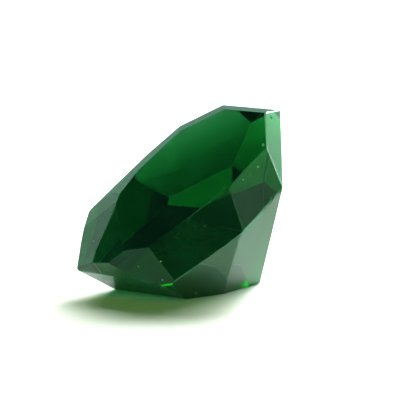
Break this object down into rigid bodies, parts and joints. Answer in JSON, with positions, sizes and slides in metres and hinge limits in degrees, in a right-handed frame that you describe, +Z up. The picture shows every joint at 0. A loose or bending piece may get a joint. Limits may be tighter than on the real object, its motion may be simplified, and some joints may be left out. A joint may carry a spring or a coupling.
{
  "type": "faceted garnet",
  "caption": "Loose faceted green garnet: an elongated oval cut with a broad table and a deep pavilion, lying on one pavilion facet.",
  "frame": {"origin": "bottom centre of the bounding box of the stone as it lies, at the height of the surface under it", "axes": "+Z up from the surface that the stone lies on; the table faces up and leans towards -Y; the long axis rises towards +X and +Y"},
  "size_m": [0.0064, 0.008, 0.0052],
  "materials": {
    "green_garnet": "polished"
  },
  "bodies": {
    "root": {"garnet": "green_garnet"}
  },
  "joints": []
}
